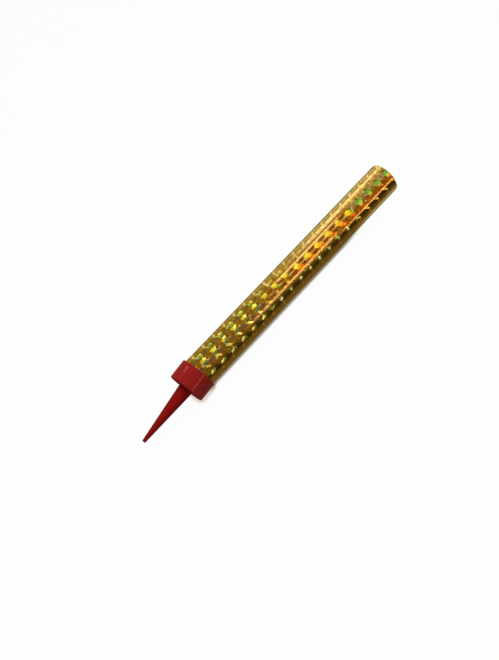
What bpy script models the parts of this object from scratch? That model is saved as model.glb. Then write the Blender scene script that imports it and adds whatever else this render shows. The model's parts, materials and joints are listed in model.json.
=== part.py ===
"""Cake fountain: a foil-wrapped, charged paper tube pushed a little askew into a red cup with a cake spike.

The cup's underside, which rests on the cake, lies at z = 0 and the spike points down.
The tube leans towards +X, as its loose push fit lets it, and pulls out along its own axis.
"""

import math

import bpy

# Rolled paper tube
TUBE_LENGTH = 0.125
TUBE_OUTER = 0.0143
TUBE_WALL = 0.0020
TUBE_EDGE_BREAK = 0.0002

# Metallised paper wrapped once round the tube
WRAP_WALL = 0.0001
WRAP_GAP = 0.0001
WRAP_OVERLAP = 0.0025
WRAP_OVERLAP_GAP = 0.00005
WRAP_RISE = 0.0012
WRAP_SEAM_ANGLE = math.radians(80)

# Cup with its spike
CUP_HEIGHT = 0.00875
CUP_WALL = 0.00045
CUP_FLOOR = 0.0012
CUP_TAPER = 0.0001
CUP_BASE_ROUND = 0.0005
CUP_LIP_ROUND = 0.00018
SOCKET_DEPTH = 0.0055
SOCKET_CLEARANCE = 0.0001
SEAT_WIDTH = 0.0015
SPIKE_LENGTH = 0.0272
SPIKE_ROOT = 0.0063
SPIKE_TIP = 0.0016
SPIKE_TIP_ROUND = 0.0003
SPIKE_ROOT_FILLET = 0.0005
TUBE_LEAN = math.radians(5)

# What the tube holds, from its lower end up
PLUG_LENGTH = 0.0070
PLUG_DISH = 0.0005
PLUG_DISH_SHARE = 0.5
STARTER_THICKNESS = 0.0030
CHOKE_THICKNESS = 0.0030
MOUTH_DEPTH = 0.0120
THROAT_CLEARANCE = 0.0006
THROAT_FLARE = 0.0010
FUSE_OUTER = 0.0022
FUSE_SOCKET = 0.0015
FUSE_SETBACK = 0.0010
FUSE_BEND_HEIGHT = 0.0090
FUSE_WALL_CLEARANCE = 0.0009

# Clearances between pieces that touch
STACK_GAP = 0.0003
PRESS_GAP = 0.0001

SIDES = 72
ARC_STEPS = 5
FUSE_STEPS = 14
SHARP_ANGLE = math.radians(32)
MERGE_DISTANCE = 0.00001

# Sizes that follow from the ones above
TUBE_RADIUS = TUBE_OUTER / 2
TUBE_BORE = TUBE_RADIUS - TUBE_WALL
WRAP_INNER = TUBE_RADIUS + WRAP_GAP
WRAP_RADIUS = WRAP_INNER + WRAP_WALL
SEAM_RADIUS = WRAP_RADIUS + WRAP_OVERLAP_GAP + WRAP_WALL
FILL_RADIUS = TUBE_BORE - PRESS_GAP
SEAT_HEIGHT = CUP_HEIGHT - SOCKET_DEPTH
PIVOT_HEIGHT = CUP_HEIGHT - SOCKET_DEPTH / 2


def tube_end_below_pivot():
    """How far down its own axis the tube's end lies, with its lowest corner just clear of the seat."""
    drop = SOCKET_DEPTH / 2 - STACK_GAP - WRAP_RADIUS * math.sin(TUBE_LEAN)
    return drop / math.cos(TUBE_LEAN)


def socket_mouth_radius():
    """The bore at the cup's mouth that just passes the leaning, wrapped tube and its seam."""
    taper_loss = CUP_TAPER * SOCKET_DEPTH / CUP_HEIGHT
    shift_at_mouth = SOCKET_DEPTH / 2 * math.tan(TUBE_LEAN)
    shift_at_end = tube_end_below_pivot() * math.sin(TUBE_LEAN)
    at_mouth = shift_at_mouth + WRAP_RADIUS / math.cos(TUBE_LEAN)
    at_end = shift_at_end + WRAP_RADIUS * math.cos(TUBE_LEAN) + taper_loss
    at_seam = math.hypot(shift_at_end, SEAM_RADIUS) + taper_loss
    return max(at_mouth, at_end, at_seam) + SOCKET_CLEARANCE


def arc(centre_r, centre_z, radius, start, end):
    """Points of an arc in the turning plane, its angles in degrees from the outward direction."""
    points = []
    for step in range(ARC_STEPS + 1):
        angle = math.radians(start + (end - start) * step / ARC_STEPS)
        points.append((centre_r + radius * math.cos(angle), centre_z + radius * math.sin(angle)))
    return points


def material(name, colour, roughness, metallic=0.0):
    made = bpy.data.materials.new(name)
    made.use_nodes = True
    shader = made.node_tree.nodes["Principled BSDF"]
    shader.inputs["Base Color"].default_value = (*colour, 1.0)
    shader.inputs["Roughness"].default_value = roughness
    shader.inputs["Metallic"].default_value = metallic
    return made


def finished(name, shape, finish, parent=None, height=0.0):
    """Turns a shape with live modifiers or a curve into a named mesh object, smooth where it is round."""
    graph = bpy.context.evaluated_depsgraph_get()
    mesh = bpy.data.meshes.new_from_object(shape.evaluated_get(graph))
    bpy.data.objects.remove(shape)
    mesh.name = name
    mesh.shade_smooth()
    mesh.set_sharp_from_angle(angle=SHARP_ANGLE)
    mesh.materials.clear()
    mesh.materials.append(finish)
    piece = bpy.data.objects.new(name, mesh)
    piece.parent = parent
    piece.location = (0, 0, height)
    fountain.objects.link(piece)
    return piece


def turned(name, profile, finish, parent=None, height=0.0, ring=False):
    """A piece turned round Z from its profile, which runs down the outer side."""
    points = [(radius, 0, z) for radius, z in profile]
    edges = [(i, i + 1) for i in range(len(points) - 1)]
    if ring:
        edges.append((len(points) - 1, 0))
    mesh = bpy.data.meshes.new(name + "_profile")
    mesh.from_pydata(points, edges, [])
    shape = bpy.data.objects.new(name + "_profile", mesh)
    fountain.objects.link(shape)
    screw = shape.modifiers.new("Turn", "SCREW")
    screw.axis = "Z"
    screw.angle = math.tau
    screw.steps = SIDES
    screw.render_steps = SIDES
    screw.use_merge_vertices = True
    screw.merge_threshold = MERGE_DISTANCE
    return finished(name, shape, finish, parent, height)


def disc_profile(radius, bottom, top, edge):
    """A solid disc with broken edges, from the middle of its top face to that of its bottom face."""
    return [
        (0, top),
        (radius - edge, top),
        (radius, top - edge),
        (radius, bottom + edge),
        (radius - edge, bottom),
        (0, bottom),
    ]


def make_spike_cup():
    mouth_bore = socket_mouth_radius()
    mouth_outer = mouth_bore + CUP_WALL
    base_outer = mouth_outer - CUP_TAPER
    seat_bore = mouth_bore - CUP_TAPER * SOCKET_DEPTH / CUP_HEIGHT
    recess = seat_bore - SEAT_WIDTH
    root = SPIKE_ROOT / 2
    tip = SPIKE_TIP / 2
    profile = [(0, CUP_FLOOR), (recess, CUP_FLOOR), (recess, SEAT_HEIGHT), (seat_bore, SEAT_HEIGHT)]
    profile += arc(mouth_bore + CUP_LIP_ROUND, CUP_HEIGHT - CUP_LIP_ROUND, CUP_LIP_ROUND, 180, 90)
    profile += arc(mouth_outer - CUP_LIP_ROUND, CUP_HEIGHT - CUP_LIP_ROUND, CUP_LIP_ROUND, 90, 0)
    profile += arc(base_outer - CUP_BASE_ROUND, CUP_BASE_ROUND, CUP_BASE_ROUND, 0, -90)
    profile += arc(root + SPIKE_ROOT_FILLET, -SPIKE_ROOT_FILLET, SPIKE_ROOT_FILLET, 90, 180)
    profile += arc(tip - SPIKE_TIP_ROUND, SPIKE_TIP_ROUND - SPIKE_LENGTH, SPIKE_TIP_ROUND, 0, -90)
    profile.append((0, -SPIKE_LENGTH))
    turned("spike_cup", profile, material("red_plastic", (0.30, 0.012, 0.014), 0.30))


def wrap_outline():
    """The wrap seen from its end: once round, then over its own first edge for the overlap."""
    step = math.tau / SIDES
    overlap_steps = max(1, round(WRAP_OVERLAP / WRAP_RADIUS / step))
    rise_steps = max(2, round(WRAP_RISE / WRAP_RADIUS / step))
    lifted = WRAP_WALL + WRAP_OVERLAP_GAP

    def lift(count):
        share = min(1, max(0, (count - (SIDES - rise_steps)) / rise_steps))
        return lifted * share * share * (3 - 2 * share)

    inner = []
    outer = []
    for count in range(SIDES + overlap_steps + 1):
        angle = WRAP_SEAM_ANGLE + count * step
        radius = WRAP_INNER + lift(count)
        inner.append((radius * math.cos(angle), radius * math.sin(angle)))
        radius += WRAP_WALL
        outer.append((radius * math.cos(angle), radius * math.sin(angle)))
    return outer + inner[::-1]


def make_foil_wrap(tube_axis):
    curve = bpy.data.curves.new("foil_wrap_outline", "CURVE")
    curve.dimensions = "2D"
    curve.fill_mode = "BOTH"
    curve.extrude = TUBE_LENGTH / 2
    outline = wrap_outline()
    spline = curve.splines.new("POLY")
    spline.points.add(len(outline) - 1)
    for point, (x, y) in zip(spline.points, outline):
        point.co = (x, y, 0, 1)
    spline.use_cyclic_u = True
    shape = bpy.data.objects.new("foil_wrap_outline", curve)
    fountain.objects.link(shape)
    finish = material("gold_foil", (0.62, 0.42, 0.08), 0.28, 1.0)
    finished("foil_wrap", shape, finish, tube_axis, TUBE_LENGTH / 2)


def make_casing_tube(tube_axis):
    edge = TUBE_EDGE_BREAK
    profile = [
        (TUBE_BORE, edge),
        (TUBE_BORE, TUBE_LENGTH - edge),
        (TUBE_BORE + edge, TUBE_LENGTH),
        (TUBE_RADIUS - edge, TUBE_LENGTH),
        (TUBE_RADIUS, TUBE_LENGTH - edge),
        (TUBE_RADIUS, edge),
        (TUBE_RADIUS - edge, 0),
        (TUBE_BORE + edge, 0),
    ]
    turned("casing_tube", profile, material("rolled_paper", (0.62, 0.52, 0.38), 0.85), tube_axis, ring=True)


def make_base_plug(tube_axis):
    """A clay plug, flush with the tube's lower end and dished where the charge was pressed on it."""
    profile = [
        (0, PLUG_LENGTH - PLUG_DISH),
        (FILL_RADIUS * PLUG_DISH_SHARE, PLUG_LENGTH - PLUG_DISH),
        (FILL_RADIUS - TUBE_EDGE_BREAK, PLUG_LENGTH),
        (FILL_RADIUS, PLUG_LENGTH - TUBE_EDGE_BREAK),
        (FILL_RADIUS, TUBE_EDGE_BREAK),
        (FILL_RADIUS - TUBE_EDGE_BREAK, 0),
        (0, 0),
    ]
    turned("base_plug", profile, material("pressed_clay", (0.58, 0.50, 0.42), 0.9), tube_axis)


def make_fountain_charge(tube_axis, top):
    """The main charge, domed below where it fills the plug's dish."""
    bottom = PLUG_LENGTH + STACK_GAP
    profile = [
        (0, top),
        (FILL_RADIUS - TUBE_EDGE_BREAK, top),
        (FILL_RADIUS, top - TUBE_EDGE_BREAK),
        (FILL_RADIUS, bottom + TUBE_EDGE_BREAK),
        (FILL_RADIUS - TUBE_EDGE_BREAK, bottom),
        (FILL_RADIUS * PLUG_DISH_SHARE, bottom - PLUG_DISH),
        (0, bottom - PLUG_DISH),
    ]
    turned("fountain_charge", profile, material("pressed_charge", (0.16, 0.16, 0.17), 0.9), tube_axis)


def make_starter_layer(tube_axis, bottom, top):
    """The layer that takes the flame from the fuse, with a pocket for the fuse's foot."""
    pocket = FUSE_OUTER / 2 + PRESS_GAP
    profile = [(0, top - FUSE_SOCKET), (pocket, top - FUSE_SOCKET), (pocket, top)]
    profile += disc_profile(FILL_RADIUS, bottom, top, TUBE_EDGE_BREAK)[1:]
    turned("starter_layer", profile, material("starter_mix", (0.05, 0.05, 0.055), 0.95), tube_axis)


def make_choke_ring(tube_axis, bottom, top):
    """The paper washer that holds the fill down, its throat opening upwards."""
    throat = FUSE_OUTER / 2 + THROAT_CLEARANCE
    profile = [(throat, bottom), (throat, (bottom + top) / 2), (throat + THROAT_FLARE, top)]
    profile += disc_profile(FILL_RADIUS, bottom, top, TUBE_EDGE_BREAK)[1:-1]
    turned("choke_ring", profile, material("choke_paper", (0.45, 0.36, 0.25), 0.9), tube_axis, ring=True)


def make_fuse(tube_axis, foot, bend_start):
    """A short stub, straight through the throat and then bent over to lie along the tube's wall."""
    radius = FUSE_OUTER / 2
    side_step = TUBE_BORE - FUSE_WALL_CLEARANCE - radius
    tip = TUBE_LENGTH - FUSE_SETBACK
    curve = bpy.data.curves.new("fuse_path", "CURVE")
    curve.dimensions = "3D"
    curve.bevel_depth = radius
    curve.bevel_resolution = 3
    curve.use_fill_caps = True
    spline = curve.splines.new("POLY")
    spline.points.add(FUSE_STEPS)
    for step, point in enumerate(spline.points):
        z = foot + (tip - foot) * step / FUSE_STEPS
        share = min(1, max(0, (z - bend_start) / FUSE_BEND_HEIGHT))
        point.co = (-side_step * share * share * (3 - 2 * share), 0, z, 1)
    shape = bpy.data.objects.new("fuse_path", curve)
    fountain.objects.link(shape)
    finished("fuse", shape, material("fuse_yarn", (0.20, 0.27, 0.14), 0.9), tube_axis)


def main():
    make_spike_cup()

    below = tube_end_below_pivot()
    tube_axis = bpy.data.objects.new("tube_axis", None)
    tube_axis.empty_display_size = TUBE_OUTER
    tube_axis.location = (-below * math.sin(TUBE_LEAN), 0, PIVOT_HEIGHT - below * math.cos(TUBE_LEAN))
    tube_axis.rotation_euler = (0, TUBE_LEAN, 0)
    fountain.objects.link(tube_axis)

    choke_top = TUBE_LENGTH - MOUTH_DEPTH
    choke_bottom = choke_top - CHOKE_THICKNESS
    starter_top = choke_bottom - STACK_GAP
    starter_bottom = starter_top - STARTER_THICKNESS
    charge_top = starter_bottom - STACK_GAP

    make_foil_wrap(tube_axis)
    make_casing_tube(tube_axis)
    make_base_plug(tube_axis)
    make_fountain_charge(tube_axis, charge_top)
    make_starter_layer(tube_axis, starter_bottom, starter_top)
    make_choke_ring(tube_axis, choke_bottom, choke_top)
    make_fuse(tube_axis, starter_top - FUSE_SOCKET + STACK_GAP, (choke_bottom + choke_top) / 2)


for old in list(bpy.data.objects):
    bpy.data.objects.remove(old)
fountain = bpy.data.collections.new("cake_fountain")
bpy.context.scene.collection.children.link(fountain)
main()
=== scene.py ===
"""Cake fountain: dresses the packed part for rendering, in the part's own frame and in metres.

The cup's underside lies at z = 0 and its spike points down. The tube leans towards +X in the cup.
Angles round the tube run from the side that faces the camera, at 0, towards the side that it leans to.
"""

import json
import math

import bmesh
import bpy
from bpy.props import FloatProperty, FloatVectorProperty, IntProperty, PointerProperty
from mathutils import Matrix, Vector, noise

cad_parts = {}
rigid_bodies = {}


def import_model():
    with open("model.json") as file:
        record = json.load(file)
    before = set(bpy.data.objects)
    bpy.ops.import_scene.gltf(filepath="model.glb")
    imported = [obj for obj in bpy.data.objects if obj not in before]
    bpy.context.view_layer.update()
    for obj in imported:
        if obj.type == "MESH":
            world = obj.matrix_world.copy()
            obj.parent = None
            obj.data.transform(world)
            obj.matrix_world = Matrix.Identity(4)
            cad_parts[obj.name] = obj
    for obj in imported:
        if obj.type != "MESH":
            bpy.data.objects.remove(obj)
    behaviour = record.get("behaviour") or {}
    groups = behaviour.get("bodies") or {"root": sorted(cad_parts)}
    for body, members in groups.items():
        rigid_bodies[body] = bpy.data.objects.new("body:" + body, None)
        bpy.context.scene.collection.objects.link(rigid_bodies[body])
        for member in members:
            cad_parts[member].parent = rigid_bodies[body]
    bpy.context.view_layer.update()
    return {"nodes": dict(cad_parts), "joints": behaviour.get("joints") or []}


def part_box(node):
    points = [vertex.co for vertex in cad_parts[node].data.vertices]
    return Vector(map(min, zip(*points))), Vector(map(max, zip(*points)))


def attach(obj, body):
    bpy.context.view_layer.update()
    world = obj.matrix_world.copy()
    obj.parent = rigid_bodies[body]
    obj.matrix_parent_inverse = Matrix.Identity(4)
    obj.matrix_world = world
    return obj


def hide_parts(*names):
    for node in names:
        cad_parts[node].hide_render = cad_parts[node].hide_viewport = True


bl_info = {
    "name": "Cake fountain",
    "version": (1, 0, 0),
    "blender": (4, 5, 0),
    "location": "3D View > Sidebar > Cake fountain",
    "description": "Dresses a packed cake fountain: foil, paper tube, fills, fuse, spike cup and studio",
    "category": "Add Mesh",
}

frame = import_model()

MM = 0.001
TUBE_BODY = "charged_tube"
CUP_BODY = "spike_cup"

# The leaning tube's own Z, X and Y: along it, the way it leans, and away from the camera. FACING is the camera's side
ALONG = Vector(frame["joints"][0]["axis"]).normalized()
ACROSS = Vector((ALONG.z, 0, -ALONG.x))
SIDE = ALONG.cross(ACROSS)
FACING = math.radians(-90)


def extent(node, way):
    """Lowest and highest place of a packed node along a direction."""
    places = [v.co.dot(way) for v in frame["nodes"][node].data.vertices]
    return min(places), max(places)


def placed(origin, *axes):
    """The place and turn of something whose own X, Y and Z point along these axes."""
    return Matrix.Translation(origin) @ Matrix(axes).transposed().to_4x4()


def tube_frame():
    """The leaning tube's own frame, from the middle of its lower end."""
    origin = ALONG * extent("casing_tube", ALONG)[0]
    for way in (ACROSS, SIDE):
        origin += way * (sum(extent("casing_tube", way)) / 2)
    return placed(origin, ACROSS, SIDE, ALONG)


def half_width(node):
    """Half of a packed node's width across the lean, where no seam adds to it."""
    low, high = extent(node, ACROSS)
    return (high - low) / 2


def on_tube(node):
    """Lowest and highest place of a packed node along the tube, from the tube's lower end."""
    start = TUBE.translation.dot(ALONG)
    return tuple(place - start for place in extent(node, ALONG))


TUBE = tube_frame()
TUBE_RADIUS = half_width("casing_tube")
FOIL_RADIUS = half_width("foil_wrap")
FILL_RADIUS = half_width("base_plug")
TUBE_LENGTH = on_tube("casing_tube")[1]
CHOKE_LOW, CHOKE_HIGH = on_tube("choke_ring")
FUSE_LOW, FUSE_HIGH = on_tube("fuse")
CUP_LOW, CUP_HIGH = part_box("spike_cup")


def srgb(red, green, blue):
    """A colour as it shows on a screen, 0 to 255 a channel, as the linear values that shaders take."""
    def linear(value):
        level = value / 255
        return level / 12.92 if level <= 0.04045 else ((level + 0.055) / 1.055) ** 2.4

    return linear(red), linear(green), linear(blue)


def dimmed(tone, amount):
    return [channel * amount for channel in tone]


def length(name, description, default):
    return FloatProperty(
        name=name, description=description, default=default, precision=5, min=0, subtype="DISTANCE", unit="LENGTH"
    )


def angle(name, description, default):
    return FloatProperty(name=name, description=description, default=math.radians(default), subtype="ANGLE")


def share(name, description, default):
    return FloatProperty(name=name, description=description, default=default, min=0, max=1, subtype="FACTOR")


def count(name, description, default):
    return IntProperty(name=name, description=description, default=default, min=1)


def colour(name, description, default):
    return FloatVectorProperty(
        name=name, description=description, default=srgb(*default), min=0, max=1, size=3, subtype="COLOR"
    )


class CupProperties(bpy.types.PropertyGroup):
    """Sizes and colour of the moulded cup and its spike"""

    mouth_radius: length("Mouth radius", "Outer radius of the cup at its mouth", CUP_HIGH.x)
    height: length("Height", "Height of the cup above its underside", CUP_HIGH.z)
    taper: length("Taper", "How much smaller the radius is at the base", 0.1 * MM)
    wall: length("Wall", "Thickness of the wall at the mouth", 0.45 * MM)
    floor: length("Floor", "Thickness of the floor under the recess", 1.2 * MM)
    socket: length("Socket depth", "Depth from the mouth to the seat of the tube", 5.5 * MM)
    seat: length("Seat width", "Width of the seat round the recess", 1.5 * MM)
    lip_round: length("Lip round", "Radius of the rounded lip edges", 0.18 * MM)
    base_round: length("Base round", "Radius of the rounded base edge", 0.5 * MM)
    spike: length("Spike length", "Length of the spike below the cup", -CUP_LOW.z)
    spike_root: length("Spike root radius", "Radius of the spike at the cup", 3.15 * MM)
    spike_tip: length("Spike tip radius", "Radius of the spike near its tip", 0.8 * MM)
    tip_round: length("Tip round", "Radius of the rounded tip edge", 0.3 * MM)
    root_fillet: length("Root fillet", "Radius where the spike meets the cup", 0.5 * MM)
    sides: count("Sides", "Steps round the cup", 144)
    red: colour("Red", "Colour of the plastic", (160, 30, 26))
    # Painted shade: a darker, deeper red for the underside and the spike, which lie in shade below the cup
    shaded_red: colour("Deep red", "Colour of the plastic where it is thick", (148, 20, 16))


class FoilProperties(bpy.types.PropertyGroup):
    """Sizes and colours of the foil wrap and its mosaic"""

    wall: length("Thickness", "Thickness of the foil-faced paper", 0.1 * MM)
    overlap: angle("Overlap", "How far the wrap laps over its own first edge", 20)
    seam: angle("Seam", "Where the first edge lies round the tube", 170)
    rise: angle("Rise", "Over what angle the wrap climbs onto its first edge", 10)
    lift: length("Lift", "Height of that climb", 0.15 * MM)
    tile: length("Tile", "Pitch of the mosaic along the tube and round it", 6.157 * MM)
    tile_height: length("First tile", "Height of a tile's lower edge above the tube's lower end", 0.54 * MM)
    tile_turn: angle("Tile turn", "Where a tile's edge lies round the tube", -54)
    quadrant_steps: count("Steps", "Mesh squares along the side of a quarter tile", 4)
    ragged: length("Ragged ends", "How uneven the cut ends are", 0.18 * MM)
    dents: length("Dents", "Depth of the soft dents in the wrap", 0.012 * MM)
    dent_size: length("Dent size", "Width of those dents", 9 * MM)
    join_line: length("Join line", "Height of the pale line where two plates of the film meet", 50.2 * MM)
    join_width: length("Join width", "Width of that line", 0.12 * MM)
    # The mosaic's painted light changes its look at these heights up the tube
    middle_start: length("Second stretch", "Height where the artwork's second look starts", 42 * MM)
    upper_start: length("Third stretch", "Height where its third look starts", 60 * MM)
    far_start: length("Fourth stretch", "Height where its fourth look starts", 98 * MM)
    flake: length("Flake", "Width of the small flakes that the facets break into", 0.8 * MM)
    # The edges of the mosaic's painted light wander by the crinkle
    crinkle: length("Crinkle", "How far the artwork's edges wander", 0.7 * MM)
    facet_depth: length("Facet depth", "Depth that the facets seem to have", 0.11 * MM)
    seed: count("Seed", "Seed of the uneven ends and dents", 7)
    # Turns the mosaic's painted light and the metal's painted reflections round the tube
    painted_light_turn: angle("Artwork turn", "How far the artwork is turned round the tube", 2.5)
    edge_tint: colour("Edge tint", "Tint of the metal where it is seen at a low angle", (155, 149, 108))


class TubeProperties(bpy.types.PropertyGroup):
    """Sizes and colours of the rolled paper tube and its fills"""

    wall: length("Wall", "Thickness of the rolled wall", 2.0 * MM)
    layers: count("Layers", "Turns of paper in the wall", 9)
    groove: length("Groove", "Depth of the grooves between turns at the cut ends", 0.07 * MM)
    uneven: length("Uneven", "How uneven the cut ends are", 0.05 * MM)
    edge: length("Edge", "Break of the tube's edges", 0.2 * MM)
    sides: count("Sides", "Steps round the tube", 144)
    throat: length("Throat radius", "Radius of the choke's throat", 1.7 * MM)
    flare: length("Throat flare", "How much the throat widens at its top", 1.0 * MM)
    grain: length("Grain", "Height of the pressed grain on the choke", 0.05 * MM)
    paper: colour("Paper", "Colour of the rolled paper", (214, 199, 170))
    core: colour("Paper shade", "Darker colour of the same paper", (168, 146, 110))
    choke: colour("Choke", "Colour of the pressed paper washer", (176, 152, 116))
    clay: colour("Clay", "Colour of the base plug", (196, 184, 164))
    charge: colour("Charge", "Colour of the pressed charge", (92, 92, 96))
    starter: colour("Starter", "Colour of the starter layer", (44, 43, 44))


class FuseProperties(bpy.types.PropertyGroup):
    """Sizes and colours of the twisted fuse"""

    yarns: count("Yarns", "Yarns twisted round each other", 5)
    yarn: length("Yarn radius", "Radius of one yarn", 0.42 * MM)
    orbit: length("Orbit", "Distance of a yarn's middle from the fuse's own", 0.64 * MM)
    twist: length("Twist length", "Length of one full turn of the twist", 5.5 * MM)
    bend: length("Bend", "Height over which the fuse leans to the wall", 9.0 * MM)
    side_step: length("Side step", "How far it leans over", 3.15 * MM)
    steps: count("Steps", "Steps along the fuse", 90)
    green: colour("Green", "Colour of the yarns", (104, 122, 78))
    # The plies are this paler colour on their crests and darker in the grooves between them
    crest_green: colour("Dusty green", "Paler colour on the yarns' tops", (150, 158, 120))


class StageProperties(bpy.types.PropertyGroup):
    """Camera, floor and light"""

    lens: FloatProperty(name="Lens", description="Focal length", default=35.45, unit="CAMERA")
    distance: length("Distance", "From the camera to the tube's axis", 274.7 * MM)
    tilt: angle("Tilt", "How much farther the fire end is", 11)
    aim: length("Aim", "Place along the tube that the camera aims beside", 32.18 * MM)
    aside: length("Aside", "How far to the tube's side it aims", 2.94 * MM)
    roll: angle("Roll", "How far the tube lies from upright in the picture", 43.39)
    floor_gap: length("Floor gap", "From the tube's axis to the floor", 8.7 * MM)
    floor_turn: angle("Floor turn", "How far round to the right of the tube the floor touches it", 42)
    floor_size: length("Floor size", "Half of the floor's width", 600 * MM)
    floor_shade: share("Floor shade", "How much of the object's shadow the floor keeps", 0.03)
    contact: length("Contact shade", "How near to the object the floor is darker", 2.3 * MM)
    contact_end: length("Contact shade's end", "Height from which the floor isn't darker any more", 108 * MM)
    ambient: share("Ambient", "Level of the light from all round", 0.22)
    key: FloatProperty(name="Key", description="Glare of the main lamp", default=11.7, min=0)
    lamp_distance: length("Lamp distance", "From the mirrored lamps to what mirrors them", 500 * MM)


def sign(operation, swapped=False):
    """What a sign beside a wire does: it adds a Math node, with the wire as its second value if swapped."""
    def add_node(self, other):
        return self.draft.calc(operation, *((other, self) if swapped else (self, other)))

    return add_node


class Wire:
    """An output in a node tree. Where it is a number, signs between it and other numbers add Math nodes."""

    def __init__(self, draft, socket):
        self.draft = draft
        self.socket = socket

    __add__ = sign("ADD")
    __sub__ = sign("SUBTRACT")
    __rsub__ = sign("SUBTRACT", swapped=True)
    __mul__ = sign("MULTIPLY")
    __truediv__ = sign("DIVIDE")
    __rtruediv__ = sign("DIVIDE", swapped=True)

    def scaled(self, factor, offset):
        """Times the factor, plus the offset."""
        return self.draft.calc("MULTIPLY_ADD", self, factor, offset)

    def clipped(self, low, high):
        return self.draft.calc("MINIMUM", self.draft.calc("MAXIMUM", self, low), high)

    def sibling(self, name):
        """Another output of the same node."""
        return Wire(self.draft, self.socket.node.outputs[name])


class Draft:
    """Writes a node tree: each call adds a node, fills its sockets and gives back one output as a wire."""

    def __init__(self, tree):
        self.tree = tree

    def node(self, kind, sockets=None, output=0, **settings):
        made = self.tree.nodes.new(kind)
        for name, value in settings.items():
            setattr(made, name, value)
        for key, value in (sockets or {}).items():
            if isinstance(key, int):
                socket = made.inputs[key]
            else:
                socket = next(s for s in made.inputs if s.name == key and s.enabled)
            if isinstance(value, Wire):
                self.tree.links.new(value.socket, socket)
            else:
                socket.default_value = (*value[:3], 1) if socket.type == "RGBA" else value
        return Wire(self, made.outputs[output])

    def calc(self, operation, *values):
        return self.node("ShaderNodeMath", dict(enumerate(values)), operation=operation)

    def vector(self, operation, *values, output=0):
        return self.node("ShaderNodeVectorMath", dict(enumerate(values)), output, operation=operation)

    def joined(self, x=0.0, y=0.0, z=0.0):
        return self.node("ShaderNodeCombineXYZ", {0: x, 1: y, 2: z})

    def parts(self, value):
        x = self.node("ShaderNodeSeparateXYZ", {0: value})
        return x, x.sibling("Y"), x.sibling("Z")

    def rise(self, value, start, end, low=0.0, high=1.0):
        """A smooth step from low to high as the value goes from start to end."""
        sockets = {0: value, 1: start, 2: end, 3: low, 4: high}
        return self.node("ShaderNodeMapRange", sockets, interpolation_type="SMOOTHSTEP")

    def band(self, value, start, end, soft):
        """1 between start and end, with soft edges of that width outside."""
        return self.rise(value, start - soft, start) * self.rise(value, end, end + soft, 1.0, 0.0)

    def blend(self, amount, first, second, mode="MIX"):
        return self.node("ShaderNodeMix", {0: amount, 6: first, 7: second}, 2, data_type="RGBA", blend_type=mode)

    def ramp(self, value, stops):
        """The colours of the stops, which each have a place from 0 to 1."""
        tones = self.node("ShaderNodeValToRGB", {0: value})
        elements = tones.socket.node.color_ramp.elements
        while len(elements) < len(stops):
            elements.new(1)
        for element, (place, tone) in zip(elements, stops):
            element.position = place
            element.color = (*tone, 1)
        return tones

    def noise(self, vector, scale, detail=2.0, roughness=0.5, output=0):
        sockets = {"Vector": vector, "Scale": scale, "Detail": detail, "Roughness": roughness}
        return self.node("ShaderNodeTexNoise", sockets, output)

    def stored(self, geometry, name, value, data_type="FLOAT", domain="POINT"):
        sockets = {"Geometry": geometry, "Name": name, "Value": value}
        return self.node("GeometryNodeStoreNamedAttribute", sockets, data_type=data_type, domain=domain)


class Finish(Draft):
    """The draft of a new material, with the values of its shader that are the same all over."""

    def __init__(self, name, **constants):
        self.material = bpy.data.materials.new(name)
        self.material.use_nodes = True
        super().__init__(self.material.node_tree)
        for label, value in constants.items():
            self.shader_input(label).default_value = value

    def shader_input(self, label):
        return self.tree.nodes["Principled BSDF"].inputs[label.replace("_", " ")]

    def plugged(self, **wires):
        """The material, with these wires plugged into its shader."""
        for label, wire in wires.items():
            self.tree.links.new(wire.socket, self.shader_input(label))
        return self.material

    def own_place(self):
        return self.node("ShaderNodeTexCoord", output="Object")

    def bumped(self, height, depth, strength=1.0):
        return self.node("ShaderNodeBump", {"Height": height, "Strength": strength, "Distance": depth})


def plastic_finish(cup, name, gloss):
    """Moulded plastic: cloudy and fine-grained, with scuffs and small pale specks, and painted shade: deeper in colour
    below the cup.
    """
    draft = Finish(name, Specular_IOR_Level=0.0, Coat_Weight=gloss, Coat_Roughness=0.08, Coat_IOR=1.5)
    place = draft.own_place()
    cloud = draft.noise(place, 160, 3)
    flow = draft.noise(draft.vector("MULTIPLY", place, (1, 1, 0.2)), 900, 2)
    # Painted shade: below the cup's underside the red turns darker and deeper; the clouds are the plastic's own tone
    below = draft.rise(draft.parts(place)[2], 0.5 * MM, -4 * MM)
    tone = draft.blend(below * 0.7 + draft.rise(cloud, 0.4, 0.7, 0, 0.3), cup.red, cup.shaded_red)
    speck = draft.rise(draft.noise(place, 5200, 1), 0.7, 0.8)
    tone = draft.blend(speck * 0.08, tone, srgb(205, 90, 90))
    scuff = draft.rise(draft.noise(place, 420, 5, 0.7), 0.5, 0.72)
    grain = draft.noise(place, 2600, 3) + flow * 0.8
    return draft.plugged(
        Base_Color=tone, Roughness=scuff.scaled(0.2, 0.4), Normal=draft.bumped(grain, 0.006 * MM, 0.5),
        Coat_Normal=draft.bumped(cloud, 0.01 * MM, 0.08),
    )
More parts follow.
